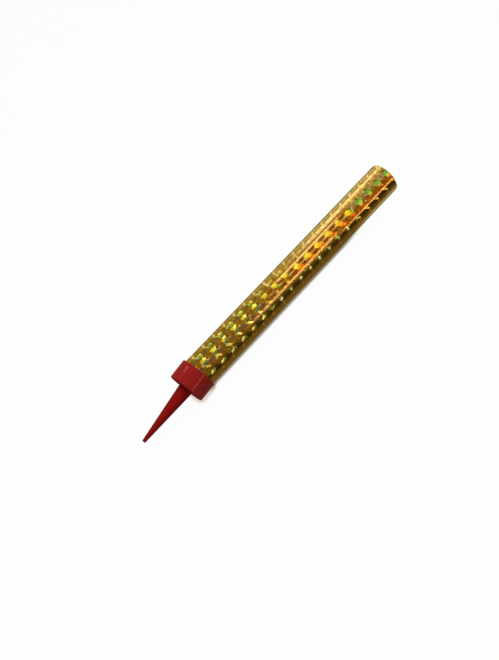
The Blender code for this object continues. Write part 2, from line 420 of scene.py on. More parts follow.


# The foil's mosaic colours are painted light: the colours that its facets split from the lamps, painted shade in its
# dark cells and painted glints, as they show from the camera's side. They repeat once in each tile, and look different
# on
# four stretches of the tube: low, middle, upper and far. A shape marked inner or between shows on the middle and the
# upper one. Those marked upper or between also shift in their tiles on the way up. Each shape has its stretch, its
# place in millimetres from the tile's lower edge and in degrees from the camera's side, its half length and half width
# in millimetres, its turn in degrees, its strength and its colour. Patches are broken up into flakes, and glints
# aren't.
PAINTED_LIGHT_PATCHES = (
    ("low", 4.90, -38, 1.40, 1.05, 0, 0.8, (104, 82, 42)),
    ("low", 2.00, -41, 1.50, 0.95, -12, 0.9, (176, 172, 58)),
    ("low", 1.55, -37, 0.95, 0.62, 15, 0.9, (110, 156, 36)),
    ("low", 2.60, -45, 0.80, 0.45, 10, 0.9, (234, 234, 118)),
    ("low", 1.85, -21, 1.36, 0.80, 0, 0.95, (228, 202, 50)),
    ("low", 2.45, -22, 0.90, 0.66, 0, 1.0, (255, 244, 104)),
    ("low", 2.40, -13, 0.60, 0.50, 0, 0.6, (110, 148, 40)),
    ("low", 3.45, -20, 0.28, 0.75, 0, 0.9, (58, 36, 4)),
    ("low", 1.90, -7, 1.10, 0.60, 0, 0.9, (86, 92, 48)),
    ("low", 1.65, 4, 1.15, 0.42, 35, 0.95, (240, 222, 96)),
    ("low", 4.35, -3, 1.35, 0.90, 8, 0.8, (94, 76, 42)),
    ("low", 1.60, 28.5, 1.45, 1.15, 0, 0.65, (108, 94, 16)),
    ("low", 2.80, 27, 0.50, 0.60, 0, 0.85, (112, 130, 26)),
    ("low", 0.60, 31, 0.50, 0.35, -25, 0.8, (186, 104, 34)),
    ("low", 1.40, 26.5, 0.90, 0.36, -25, 1.0, (246, 222, 120)),
    ("inner", 0.35, 29, 1.15, 1.25, 0, 0.65, (104, 84, 16)),
    ("middle", 1.90, -42, 1.30, 1.00, 0, 0.6, (204, 178, 84)),
    ("middle", 2.05, -20, 1.45, 0.92, 0, 1.0, (244, 216, 60)),
    ("middle", 3.50, -9, 1.20, 0.36, 0, 0.7, (110, 146, 30)),
    ("middle", 1.00, 1, 0.95, 0.72, 40, 0.9, (240, 190, 50)),
    ("upper", 3.80, 3, 1.60, 0.95, 12, 0.85, (228, 110, 24)),
    ("upper", 2.60, -8, 1.65, 1.12, 24, 0.95, (246, 184, 34)),
    ("upper", 2.10, -13, 1.55, 0.60, -18, 1.0, (252, 216, 58)),
    ("between", 5.85, -15, 1.50, 0.58, 8, 0.85, (112, 60, 4)),
    ("between", 5.95, 0, 1.35, 0.55, -8, 0.85, (118, 60, 4)),
    ("inner", 0.30, 27, 0.46, 0.62, 15, 1.0, (238, 230, 134)),
    ("upper", 4.20, 19, 0.95, 0.34, 0, 0.7, (158, 150, 34)),
    ("far", 3.50, -20, 1.40, 1.20, 0, 0.75, (150, 130, 70)),
    ("far", 0.45, -22, 1.20, 0.75, 0, 0.85, (80, 58, 8)),
    ("far", 0.05, -6, 1.35, 1.35, 45, 1.0, (124, 178, 44)),
    ("far", -0.30, -12, 0.95, 0.50, 0, 0.9, (78, 168, 72)),
    ("far", 0.20, -1, 0.90, 0.50, 0, 0.95, (208, 210, 54)),
    ("far", -0.10, 5, 1.10, 0.42, 0, 0.9, (224, 132, 32)),
)
PAINTED_GLINTS = (
    ("low", 0.85, -43, 1.00, 0.17, 45, 0.85, (214, 204, 120)),
    ("low", 0.50, -4, 1.10, 0.13, -55, 0.7, (176, 170, 104)),
    ("low", 3.85, -11, 0.70, 0.20, 0, 0.7, (238, 170, 90)),
    ("low", 5.65, 23.5, 0.70, 0.22, 40, 0.6, (120, 128, 44)),
    ("low", 5.95, 47, 0.20, 0.75, 10, 0.55, (196, 150, 96)),
    ("middle", 0.35, -42, 0.60, 1.10, 0, 0.6, (222, 190, 104)),
    ("middle", 4.60, -8, 1.50, 0.14, 0, 0.7, (206, 190, 110)),
    ("inner", 5.75, 23, 0.95, 0.22, 50, 0.7, (112, 128, 40)),
    ("inner", 0.00, 47, 0.20, 0.80, 10, 0.35, (170, 140, 80)),
    ("upper", 5.70, -7, 1.30, 0.16, 0, 0.75, (240, 194, 104)),
    ("far", 1.50, -16, 1.75, 0.30, 56, 0.85, (178, 164, 94)),
    ("far", 3.90, -8, 1.10, 0.18, -8, 0.7, (190, 170, 124)),
    ("far", 0.65, 26.5, 1.75, 0.40, 36, 0.9, (226, 160, 58)),
    ("far", 1.45, 31, 0.60, 0.36, 36, 0.9, (246, 200, 96)),
    ("far", 1.70, 46, 0.30, 1.00, 10, 0.35, (180, 146, 84)),
)
# Colour of the metal between them, by the angle from the camera's side, with painted reflection and shade: paler
# where it mirrors bright surroundings and darkest where it mirrors dark ones. It repeats after LOOK_SPAN degrees.
LOOK_SPAN = 192
METAL_AND_PAINTED_REFLECTIONS = (
    (-102, (150, 118, 56)),
    (-80, (186, 154, 94)),
    (-66, (174, 142, 72)),
    (-58, (163, 128, 44)),
    (-50, (134, 102, 22)),
    (-34, (122, 92, 16)),
    (-26, (134, 92, 10)),
    (-14, (122, 88, 10)),
    (2, (116, 76, 8)),
    (15, (112, 72, 6)),
    (18, (86, 64, 2)),
    (27, (60, 43, 0)),
    (36, (44, 29, 0)),
    (41, (90, 60, 8)),
    (52, (106, 75, 24)),
    (58, (119, 92, 38)),
    (64, (128, 103, 50)),
    (76, (138, 112, 62)),
    (90, (150, 118, 56)),
)
# How many ways the shapes' strength changes along the tube, and how far apart they lie in one noise
LUCK_COUNT = 5
LUCK_SHIFT = 37.3
# How much of the way to a flake's middle its places are drawn
FLAKE_PULL = 0.6
# Where the slanting streaks of painted highlight begin, in degrees, and their slant in tiles a degree: near the cup,
# and added on the way up
STREAK_START = -50
STREAK_SLANT = 0.003
STREAK_SLANT_GAIN = 0.012


def foil_finish(foil):
    """Gold film embossed with a mosaic of square tiles. Its facets' split colours and its reflections are painted
    light.
    """
    draft = Finish("mosaic_gold_foil", Metallic=1.0, Specular_Tint=(*foil.edge_tint, 1), Coat_Weight=0.06,
                   Coat_Roughness=0.05, Coat_IOR=1.5)
    tiles = draft.node("ShaderNodeUVMap", uv_map="foil_tiles")
    degree_length = math.radians(FOIL_RADIUS)
    around, along, _ = draft.parts(tiles)
    degrees = around.scaled(foil.tile / degree_length, math.degrees(foil.tile_turn - foil.painted_light_turn))
    height = along.scaled(foil.tile, foil.tile_height)
    reach = draft.rise(height, foil.tile, TUBE_LENGTH)
    beyond_low = draft.rise(height, foil.middle_start, foil.middle_start + foil.tile)
    beyond_middle = draft.rise(height, foil.upper_start, foil.upper_start + foil.tile / 2)
    far = draft.rise(height, foil.far_start, foil.far_start + foil.tile / 2)
    stretches = {
        "low": 1 - beyond_low, "middle": beyond_low - beyond_middle, "upper": beyond_middle - far, "far": far,
    }
    stretches["inner"] = stretches["between"] = beyond_low - far

    # Places in metres along and round, and the same drawn towards the middle of small flakes
    drift = draft.joined(draft.rise(height, foil.upper_start, foil.far_start + foil.tile, 0, -0.4 * foil.tile))
    flat = draft.joined(along * foil.tile, degrees * degree_length)
    crinkle = draft.vector("SUBTRACT", draft.noise(flat, 900, 3, 0.6, output=1), (0.5, 0.5, 0.5))
    smooth = draft.vector("MULTIPLY_ADD", crinkle, (foil.crinkle, foil.crinkle, 0), flat)
    flakes = draft.node("ShaderNodeTexVoronoi", {"Vector": smooth, "Scale": 1 / foil.flake, "Randomness": 0.9},
                        "Position", voronoi_dimensions="2D")
    chance, second_chance, _ = draft.parts(flakes.sibling("Color"))
    to_middle = draft.vector("SUBTRACT", flakes, smooth)
    broken = draft.vector("MULTIPLY_ADD", to_middle, (FLAKE_PULL, FLAKE_PULL, 0), smooth)

    # How strong the shapes come out changes softly along the tube, in a few ways that the shapes share
    lucks = []
    for number in range(LUCK_COUNT):
        sockets = {"W": along + LUCK_SHIFT * number, "Scale": 0.9, "Detail": 0}
        lucks.append(draft.rise(draft.node("ShaderNodeTexNoise", sockets, noise_dimensions="1D"), 0.3, 0.7, 0.72, 1.1))

    def painted(tone, place, shapes):
        """The tone with these shapes painted on it, one over the other."""
        half_span = (foil.tile / 2, LOOK_SPAN / 2 * degree_length, 1)
        for number, (stretch, up, side, long, wide, turn, strength, shade) in enumerate(shapes):
            moved = draft.vector("SUBTRACT", place, (up * MM, side * degree_length, 0))
            if stretch in ("upper", "between"):
                moved = draft.vector("ADD", moved, drift)
            moved = draft.vector("WRAP", moved, half_span, [-half for half in half_span])
            cosine, sine = math.cos(math.radians(turn)), math.sin(math.radians(turn))
            cubes = []
            for way in ((-sine / wide, cosine / wide), (cosine / long, sine / long)):
                share_out = draft.vector("DOT_PRODUCT", moved, (way[0] / MM, way[1] / MM, 0), output=1)
                cubes.append(draft.calc("POWER", draft.calc("ABSOLUTE", share_out), 3))
            spot = draft.rise(cubes[1] + cubes[0], 1.3, 0.6, 0, strength)
            tone = draft.blend(spot * lucks[number % LUCK_COUNT] * stretches[stretch], tone, srgb(*shade))
        return tone

    # The metal: its colour round the tube with painted reflection and shade, and bands painted over it: paler and
    # redder stretches, painted highlight lines and a painted window reflection. Each flake has its own shade
    first = METAL_AND_PAINTED_REFLECTIONS[0][0]
    look = draft.calc("FRACT", degrees.scaled(1 / LOOK_SPAN, -first / LOOK_SPAN))
    metal = draft.ramp(look, [((side - first) / LOOK_SPAN, srgb(*shade)) for side, shade in METAL_AND_PAINTED_REFLECTIONS])
    # Bands over the metal, each with its start and end in degrees, soft edge, strength and colour: painted reflections
    # that make the edges paler, the painted reflection of a window, painted highlight lines and redder painted light
    for low, high, soft, amount, shade in (
        (-90, -60, 9, reach * 0.8, (222, 196, 136)),
        (-46, -36, 5, draft.rise(height, 50 * MM, 92 * MM, 0, 0.85), (206, 170, 106)),
        (-25, -19, 3, draft.band(height, 58 * MM, 88 * MM, 9 * MM), (240, 186, 108)),
        (-19, 6, 4, beyond_low * 0.6, (140, 80, 10)),
        (-35, -17, 4, far * 0.85, (172, 132, 52)),
        (62, 90, 12, draft.rise(height, 92 * MM, 110 * MM, 0, 0.9), (196, 170, 128)),
        (8, 14, 2, draft.band(height, 36 * MM, 84 * MM, 6 * MM), (162, 120, 62)),
        (6, 20, 3, draft.rise(height, 86 * MM, 96 * MM), (124, 66, 6)),
        (19, 22, 2, draft.rise(height, 86 * MM, 94 * MM), (180, 118, 54)),
    ):
        metal = draft.blend(draft.band(degrees, low, high, soft) * amount, metal, srgb(*shade))
    smooth_side = draft.band(degrees, 41, 84, 3)
    flake_shade = (chance - 0.55).scaled(smooth_side.scaled(-0.18, 0.26), 0.5)
    # Painted light: the patches of split colour and the shaded dark cells, painted over the metal
    tone = painted(metal, broken, PAINTED_LIGHT_PATCHES)
    tone = draft.blend(1.0, tone, draft.blend(flake_shade, (0, 0, 0), (2, 2, 2)), "MULTIPLY")

    # Painted highlights: slanting pale streaks where tiles meet on the left, and odd flakes that catch the light
    slanted = along - (STREAK_START - degrees) * reach.scaled(STREAK_SLANT_GAIN, STREAK_SLANT)
    edge = draft.calc("ABSOLUTE", draft.calc("WRAP", slanted, 0.5, -0.5))
    left = draft.band(degrees, -100, -53, 5)
    hatch = draft.noise(draft.joined(slanted * 5, around * 0.6), 1, 3, 0.7)
    tone = draft.blend(left * draft.rise(hatch, 0.42, 0.7, 0, 0.5), tone, srgb(132, 102, 40))
    tone = draft.blend(draft.rise(edge, 0.13, 0.02) * (left * 0.85), tone, srgb(238, 208, 130))
    spark = draft.calc("GREATER_THAN", second_chance, 0.95) * draft.rise(degrees, 20, 12, 0, 0.45)
    sparks = draft.ramp(chance, ((0.0, srgb(150, 146, 44)), (0.4, srgb(226, 158, 70)), (1.0, srgb(240, 212, 100))))
    tone = draft.blend(spark, tone, sparks)
    # Painted highlights: the glints
    tone = painted(tone, smooth, PAINTED_GLINTS)

    # The pale line where two plates of the film meet, with a painted highlight that makes it clearest on the left
    join = draft.band(height, foil.join_line, foil.join_line + foil.join_width, 0.15 * MM)
    tone = draft.blend(join * draft.rise(degrees, -30, -48).scaled(0.8, 0.12), tone, srgb(246, 240, 200))

    # Shallow pyramids on the quarters of each tile
    quarters = draft.vector("FRACTION", draft.vector("MULTIPLY", tiles, (2, 2, 0)))
    across, upward, _ = draft.parts(draft.vector("ABSOLUTE", draft.vector("SUBTRACT", quarters, (0.5, 0.5, 0))))
    relief = chance * 0.06 - draft.calc("MAXIMUM", across, upward)
    wear = draft.noise(draft.own_place(), 700, 4, 0.6)
    rough = second_chance.scaled(0.10, 0.18) + draft.rise(wear, 0.55, 0.8, 0, 0.1)
    return draft.plugged(Base_Color=tone, Roughness=rough, Normal=draft.bumped(relief, foil.facet_depth))


def paper_finish(name, light, dark, turns_per_metre=0):
    """Unbleached paper: short fibres and soft clouds, and on a rolled piece the turns on its cut ends."""
    draft = Finish(name, Specular_IOR_Level=0.2)
    to_tube = TUBE.inverted()
    place = draft.node("ShaderNodeMapping", {
        "Vector": draft.own_place(), "Location": to_tube.translation, "Rotation": to_tube.to_euler(),
    })
    cloud = draft.noise(place, 300, 4, 0.6)
    fibre = draft.noise(draft.vector("MULTIPLY", place, (1, 1, 5)), 2400, 4, 0.65)
    amount = draft.rise(cloud, 0.35, 0.7, 0, 0.45) + draft.rise(fibre, 0.42, 0.66, 0, 0.4)
    if turns_per_metre:
        x, y, z = draft.parts(place)
        radius = draft.calc("SQRT", x * x + y * y)
        turns = radius * turns_per_metre + draft.calc("ARCTAN2", y, x) / math.tau
        line = draft.band(draft.calc("FRACT", turns), 0.84, 0.96, 0.12)
        at_top = draft.rise(z, TUBE_LENGTH - 0.2 * MM, TUBE_LENGTH)
        amount = amount + line * draft.calc("MAXIMUM", draft.rise(z, 0.1 * MM, 0), at_top) * 0.7
    return draft.plugged(
        Base_Color=draft.blend(amount, light, dark), Roughness=draft.rise(fibre, 0.2, 0.8, 0.78, 0.95),
        Normal=draft.bumped(fibre + cloud, 0.02 * MM, 0.6),
    )


def grain_finish(name, light, dark, grain, metal_specks):
    """A pressed powder: grains of uneven tone. That share of them glints, where it holds metal."""
    draft = Finish(name, Specular_IOR_Level=0.3)
    place = draft.own_place()
    grains = draft.node("ShaderNodeTexVoronoi", {"Vector": place, "Scale": 1 / grain}, "Distance")
    chance = draft.parts(grains.sibling("Color"))[0]
    cloud = draft.noise(place, 350, 4)
    tone = draft.blend(chance * 0.7, light, dark)
    tone = draft.blend(draft.rise(cloud, 0.4, 0.75, 0, 0.5), tone, dark)
    if metal_specks:
        glint = draft.calc("GREATER_THAN", chance, 1.0 - metal_specks)
        tone = draft.blend(glint * 0.8, tone, srgb(205, 205, 205))
        draft.plugged(Metallic=glint * 0.9)
    return draft.plugged(
        Base_Color=tone, Roughness=chance.scaled(-0.25, 0.95), Normal=draft.bumped(1 - grains, 0.05 * MM, 0.8)
    )


# Plies in a yarn, and how often they wind round it from end to end
PLIES = 3
PLY_TURNS = 26


def yarn_finish(fuse):
    """Soft yarn of a few plies with fluff, paler on the crests of its plies and darker in the grooves between them."""
    draft = Finish("fuse_yarn", Specular_IOR_Level=0.15, Sheen_Weight=0.3, Sheen_Roughness=0.5)
    round_yarn, up_yarn, _ = draft.parts(draft.node("ShaderNodeUVMap", uv_map="yarn"))
    ply = draft.calc("FRACT", round_yarn * PLIES + up_yarn * PLY_TURNS)
    ridge = draft.calc("SINE", ply * math.pi)
    fluff = draft.noise(draft.own_place(), 3200, 4, 0.7)
    tone = draft.blend((ridge + fluff) * 0.55, dimmed(fuse.green, 0.55), fuse.crest_green)
    return draft.plugged(
        Base_Color=tone, Roughness=draft.rise(fluff, 0.3, 0.7, 0.8, 0.98),
        Normal=draft.bumped(ridge + fluff, 0.06 * MM, 0.8),
    )


def linked(name, data):
    """A new object in the scene."""
    made = bpy.data.objects.new(name, data)
    bpy.context.scene.collection.objects.link(made)
    return made


def plain_mesh(name, source):
    """The evaluated shape of an object as a new object with a plain mesh. The source is removed."""
    graph = bpy.context.evaluated_depsgraph_get()
    mesh = bpy.data.meshes.new_from_object(source.evaluated_get(graph))
    bpy.data.objects.remove(source)
    mesh.name = name
    return linked(name, mesh)


SOCKET_KINDS = {int: "NodeSocketInt", float: "NodeSocketFloat", bpy.types.Material: "NodeSocketMaterial"}


def new_tree(name, values):
    """A geometry node tree with an input for each named value. Gives its draft, and the inputs by name."""
    tree = bpy.data.node_groups.new(name, "GeometryNodeTree")
    for label, value in values.items():
        tree.interface.new_socket(label, in_out="INPUT", socket_type=SOCKET_KINDS[type(value)])
    tree.interface.new_socket("Geometry", in_out="OUTPUT", socket_type="NodeSocketGeometry")
    draft = Draft(tree)
    outputs = tree.nodes.new("NodeGroupInput").outputs
    return draft, {label: Wire(draft, outputs[label]) for label in values}


def end_tree(draft, geometry, finish):
    """Ends a tree: realised, with its material."""
    geometry = draft.node("GeometryNodeRealizeInstances", {0: geometry})
    geometry = draft.node("GeometryNodeSetMaterial", {"Geometry": geometry, "Material": finish})
    draft.tree.links.new(geometry.socket, draft.tree.nodes.new("NodeGroupOutput").inputs[0])
    return draft.tree


def grown(name, tree, values):
    """Runs a node tree with its inputs set, and gives its result as a plain object."""
    source = linked(name + "_source", bpy.data.meshes.new(name + "_source"))
    modifier = source.modifiers.new("Shape", "NODES")
    modifier.node_group = tree
    for item in tree.interface.items_tree:
        if item.in_out == "INPUT":
            modifier[item.identifier] = values[item.name]
    return plain_mesh(name, source)


def foil_tree(values):
    """A sheet rolled once round the tube and lapped over its first edge, on a grid that follows the tiles."""
    draft, given = new_tree("foil_sheet", values)
    grid = draft.node("GeometryNodeMeshGrid", {
        "Size X": given["Columns"], "Size Y": given["Rows"],
        "Vertices X": given["Columns"] + 1, "Vertices Y": given["Rows"] + 1,
    })
    x, y, _ = draft.parts(draft.node("GeometryNodeInputPosition"))
    column = given["Columns"].scaled(0.5, x) + given["First Column"]
    row = given["Rows"].scaled(0.5, y) + given["First Row"]
    turn = column.scaled(given["Column Angle"], given["Turn"]).clipped(given["Start"], given["End"])
    theta = turn + FACING
    out_x, out_y = draft.calc("COSINE", theta), draft.calc("SINE", theta)

    # The cut ends wander by up to the ragged size
    seed = given["Seed"] * 3.7
    low, high = (
        draft.rise(draft.noise(draft.joined(turn, seed, end), 2.3, 4, 0.6), 0.3, 0.7) * given["Ragged"]
        for end in (0, 9)
    )
    height = row.scaled(given["Row Height"], given["First Height"]).clipped(low, given["Length"] - high)
    tiles = draft.joined(
        (turn - given["Turn"]) / given["Column Angle"] / given["Squares In Tile"],
        (height - given["First Height"]) / given["Row Height"] / given["Squares In Tile"],
    )
    sheet = draft.stored(grid, "foil_tiles", tiles, "FLOAT2", "CORNER")

    # Lapped edge, and soft dents that only go inwards
    lap = given["Start"] + math.tau
    climb = draft.rise(turn, lap - given["Rise"], lap, 0.0, given["Lift"])
    spot = draft.joined(out_x * given["Radius"], out_y * given["Radius"], height)
    dent = draft.noise(draft.vector("ADD", spot, draft.joined(seed)), 1 / given["Dent Size"], 2)
    radius = given["Radius"] + climb - dent * given["Dents"]
    place = draft.joined(out_x * radius, out_y * radius, height)
    sheet = draft.node("GeometryNodeSetPosition", {"Geometry": sheet, "Position": place})
    sheet = draft.node("GeometryNodeMergeByDistance", {"Geometry": sheet, "Distance": 1e-6})
    return end_tree(draft, sheet, given["Foil"])


def yarn_tree(values):
    """Yarns twisted round a line that rises and leans over."""
    draft, given = new_tree("twisted_yarns", values)
    line = draft.node("GeometryNodeCurvePrimitiveLine", {"End": (0, 0, 1)})
    line = draft.node("GeometryNodeResampleCurve", {"Curve": line, "Count": given["Steps"]})
    lines = draft.node("GeometryNodeDuplicateElements", {"Geometry": line, "Amount": given["Yarns"]}, domain="SPLINE")
    share_up = draft.node("GeometryNodeSplineParameter")
    height = share_up.scaled(given["Tip"] - given["Foot"], given["Foot"])
    turn = (lines.sibling("Duplicate Index") / given["Yarns"] + height / given["Twist"]) * math.tau
    bend_end = given["Bend Start"] + given["Bend"]
    lean = draft.rise(height, given["Bend Start"], bend_end, 0.0, given["Side Step"])
    place = draft.joined(
        draft.calc("COSINE", turn) * given["Orbit"] - lean, draft.calc("SINE", turn) * given["Orbit"], height
    )
    lines = draft.node("GeometryNodeSetPosition", {"Geometry": lines, "Position": place})
    lines = draft.stored(lines, "up", share_up)
    ring = draft.node("GeometryNodeCurvePrimitiveCircle", {"Resolution": 10, "Radius": given["Yarn Radius"]})
    ring = draft.stored(ring, "round", draft.node("GeometryNodeSplineParameter"))
    yarns = draft.node("GeometryNodeCurveToMesh", {"Curve": lines, "Profile Curve": ring, "Fill Caps": True})
    around, upward = (
        draft.node("GeometryNodeInputNamedAttribute", {"Name": name}, data_type="FLOAT") for name in ("round", "up")
    )
    yarns = draft.stored(yarns, "yarn", draft.joined(around, upward), "FLOAT2", "CORNER")
    return end_tree(draft, yarns, given["Yarn"])


def arc(centre_r, centre_z, radius, start, end, steps=6):
    """Points of an arc in the turning plane, its angles in degrees from the outward direction."""
    turns = [math.radians(start + (end - start) * step / steps) for step in range(steps + 1)]
    return [(centre_r + radius * math.cos(turn), centre_z + radius * math.sin(turn)) for turn in turns]


def held(profile, hold=0.1 * MM):
    """The same profile with a point near both ends of each long side, so that its smooth shading stays straight."""
    points = profile[:1]
    for before, after in zip(profile, profile[1:]):
        way = Vector(after) - Vector(before)
        if way.length > 8 * hold:
            step = way.normalized() * hold
            points += [tuple(Vector(before) + step), tuple(Vector(after) - step)]
        points.append(after)
    return points


def turned(name, profile, sides, ring=False):
    """A closed shape turned round Z from its profile, which runs round the section. Points on the axis are poles."""
    made = bmesh.new()
    loops = []
    for radius, height in held(profile):
        if radius == 0:
            loops.append([made.verts.new((0, 0, height))] * sides)
            continue
        turns = [math.tau * step / sides for step in range(sides)]
        loops.append([made.verts.new((radius * math.cos(t), radius * math.sin(t), height)) for t in turns])
    pairs = list(zip(loops, loops[1:]))
    if ring:
        pairs.append((loops[-1], loops[0]))
    for upper, lower in pairs:
        for step in range(sides):
            after = (step + 1) % sides
            corners = [upper[step], upper[after], lower[after], lower[step]]
            corners = [c for i, c in enumerate(corners) if c not in corners[:i]]
            if len(corners) > 2:
                made.faces.new(corners)
    bmesh.ops.recalc_face_normals(made, faces=made.faces)
    mesh = bpy.data.meshes.new(name)
    made.to_mesh(mesh)
    made.free()
    return linked(name, mesh)


def finished(piece, finish, body, slot, *nodes, sharp=35, on_axis=True):
    """Places a piece, smooths it and ties it to its body and the nodes that it stands for. Its slot is not used."""
    if on_axis:
        piece.data.transform(TUBE)
    piece.data.shade_smooth()
    piece.data.set_sharp_from_angle(angle=math.radians(sharp))
    if finish:
        piece.data.materials.clear()
        piece.data.materials.append(finish)
    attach(piece, body)
    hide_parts(*nodes)


def make_cup(cup):
    """The cup with its socket, seat and recess, and the spike under it."""
    bore = cup.mouth_radius - cup.wall
    seat_bore = bore - cup.taper * cup.socket / cup.height
    seat_height = cup.height - cup.socket
    recess = seat_bore - cup.seat
    base = cup.mouth_radius - cup.taper
    top = cup.height - cup.lip_round
    profile = [(0, cup.floor), (recess, cup.floor), (recess, seat_height), (seat_bore, seat_height)]
    profile += arc(bore + cup.lip_round, top, cup.lip_round, 180, 90)
    profile += arc(cup.mouth_radius - cup.lip_round, top, cup.lip_round, 90, 0)
    profile += arc(base - cup.base_round, cup.base_round, cup.base_round, 0, -90)
    profile += arc(cup.spike_root + cup.root_fillet, -cup.root_fillet, cup.root_fillet, 90, 180)
    profile += arc(cup.spike_tip - cup.tip_round, cup.tip_round - cup.spike, cup.tip_round, 0, -90)
    profile.append((0, -cup.spike))
    piece = turned("moulded_cup", profile, cup.sides)
    finished(piece, plastic_finish(cup, "gloss_red_plastic", 0.12), CUP_BODY, "red_plastic", "spike_cup", on_axis=False)
    piece.data.materials.append(plastic_finish(cup, "satin_red_plastic", 0.02))
    for face in piece.data.polygons:
        if face.center.z < cup.base_round / 10:
            face.material_index = 1


def make_foil(foil):
    """The foil-faced paper, its mosaic laid on a grid and its wall given by Solidify."""
    squares = 2 * foil.quadrant_steps
    column_angle = foil.tile / FOIL_RADIUS / squares
    row_height = foil.tile / squares
    start = foil.seam - math.tau
    end = start + math.tau + foil.overlap
    first_column = math.floor((start - foil.tile_turn) / column_angle)
    first_row = math.floor(-foil.tile_height / row_height)
    values = {
        "Columns": math.ceil((end - foil.tile_turn) / column_angle) - first_column,
        "Rows": math.ceil((TUBE_LENGTH - foil.tile_height) / row_height) - first_row,
        "First Column": first_column, "First Row": first_row, "Column Angle": column_angle, "Row Height": row_height,
        "Turn": foil.tile_turn, "First Height": foil.tile_height, "Squares In Tile": float(squares), "Start": start,
        "End": end, "Length": TUBE_LENGTH, "Radius": FOIL_RADIUS, "Lift": foil.lift, "Rise": foil.rise,
        "Ragged": foil.ragged, "Dents": foil.dents, "Dent Size": foil.dent_size, "Seed": foil.seed,
        "Foil": foil_finish(foil),
    }
    piece = grown("foil_sleeve", foil_tree(values), values)
    piece.data.materials.append(paper_finish("foil_backing", srgb(226, 220, 206), srgb(196, 186, 164)))
    wall = piece.modifiers.new("Wall", "SOLIDIFY")
    wall.thickness = foil.wall
    wall.offset = -1
    wall.material_offset = 1
    wall.material_offset_rim = 1
    piece = plain_mesh("foil_sleeve", piece)
    finished(piece, None, TUBE_BODY, "gold_foil", "foil_wrap")


def make_casing(tube):
    """The rolled paper tube. Its turns show as rings of uneven height on both cut ends."""
    bore = TUBE_RADIUS - tube.wall
    step = (tube.wall - 2 * tube.edge) / tube.layers
    crests = []
    for layer in range(tube.layers):
        inner = bore + tube.edge + layer * step
        drop = tube.groove * (0.15 + 0.5 * abs(noise.noise((layer * 1.7, 0.3, 0.9))))
        crests += [(inner + 0.12 * step, drop), (inner + 0.5 * step, drop * 0.4), (inner + 0.88 * step, drop)]
        if layer < tube.layers - 1:
            crests.append((inner + step, tube.groove))
    profile = [(bore, tube.edge), (bore, TUBE_LENGTH - tube.edge)]
    profile += [(radius, TUBE_LENGTH - drop) for radius, drop in crests]
    profile += [(TUBE_RADIUS, TUBE_LENGTH - tube.edge), (TUBE_RADIUS, tube.edge)]
    profile += reversed(crests)
    piece = turned("rolled_casing", profile, tube.sides, ring=True)
    middle = TUBE_LENGTH / 2
    for vertex in piece.data.vertices:
        if abs(vertex.co.z - middle) > middle - tube.groove - tube.uneven / 4:
            drop = tube.uneven * (0.5 + 0.5 * noise.noise(vertex.co * 600))
            vertex.co.z -= math.copysign(drop, vertex.co.z - middle)
    finish = paper_finish("rolled_paper", tube.paper, tube.core, tube.layers / tube.wall)
    finished(piece, finish, TUBE_BODY, "rolled_paper", "casing_tube")


def make_fills(tube):
    """The choke washer as a new piece, and grained finishes for the pressed fills below it."""
    edge = tube.edge
    flared = tube.throat + tube.flare
    rings = 12
    top = [(flared + (FILL_RADIUS - edge - flared) * step / rings, CHOKE_HIGH) for step in range(rings + 1)]
    profile = [(tube.throat, CHOKE_LOW), (tube.throat, (CHOKE_LOW + CHOKE_HIGH) / 2), *top]
    profile += [(FILL_RADIUS, CHOKE_HIGH - edge), (FILL_RADIUS, CHOKE_LOW + edge), (FILL_RADIUS - edge, CHOKE_LOW)]
    choke = turned("choke_washer", profile, tube.sides, ring=True)
    for vertex in choke.data.vertices:
        if vertex.co.z > CHOKE_HIGH - edge / 2:
            vertex.co.z += tube.grain * noise.noise(vertex.co * 1400)
    finish = paper_finish("pressed_choke", tube.choke, dimmed(tube.choke, 0.6))
    finished(choke, finish, TUBE_BODY, "choke_paper", "choke_ring")

    for node, name, tone, shade, grain, specks in (
        ("base_plug", "pressed_clay", tube.clay, 0.72, 0.22 * MM, 0.0),
        ("fountain_charge", "pressed_charge", tube.charge, 0.35, 0.3 * MM, 0.12),
        ("starter_layer", "starter_mix", tube.starter, 0.4, 0.25 * MM, 0.0),
    ):
        materials = frame["nodes"][node].data.materials
        materials.clear()
        materials.append(grain_finish(name, tone, dimmed(tone, shade), grain, specks))


def make_fuse(fuse):
    """Twisted yarns, straight through the throat and then bent over to the wall."""
    values = {
        "Yarns": fuse.yarns, "Yarn Radius": fuse.yarn, "Orbit": fuse.orbit, "Twist": fuse.twist, "Foot": FUSE_LOW,
        "Tip": FUSE_HIGH, "Bend Start": (CHOKE_LOW + CHOKE_HIGH) / 2, "Bend": fuse.bend, "Side Step": fuse.side_step,
        "Steps": fuse.steps, "Yarn": yarn_finish(fuse),
    }
    piece = grown("fuse_yarns", yarn_tree(values), values)
    finished(piece, None, TUBE_BODY, "fuse_yarn", "fuse", sharp=60)


def make_camera(stage):
    """Looks at the tube from below its middle, with the fire end a little farther away."""
    forward = math.cos(stage.tilt) * SIDE + math.sin(stage.tilt) * ALONG
    upright = math.cos(stage.tilt) * ALONG - math.sin(stage.tilt) * SIDE
    right = math.sin(stage.roll) * upright + math.cos(stage.roll) * ACROSS
    up = math.cos(stage.roll) * upright - math.sin(stage.roll) * ACROSS
    data = bpy.data.cameras.new("camera")
    data.lens = stage.lens
    data.sensor_width = 36
    data.clip_start = 0.01
    camera = linked("camera", data)
    place = TUBE.translation + stage.aim * ALONG + stage.aside * ACROSS - stage.distance * forward
    camera.matrix_world = placed(place, right, up, -forward)
    bpy.context.scene.camera = camera


def direction(azimuth, elevation):
    """A unit direction: azimuth in degrees from the camera's side towards +X, and elevation."""
    azimuth, elevation = math.radians(azimuth), math.radians(elevation)
    level = math.cos(elevation)
    return Vector((math.sin(azimuth) * level, -math.cos(azimuth) * level, math.sin(elevation)))


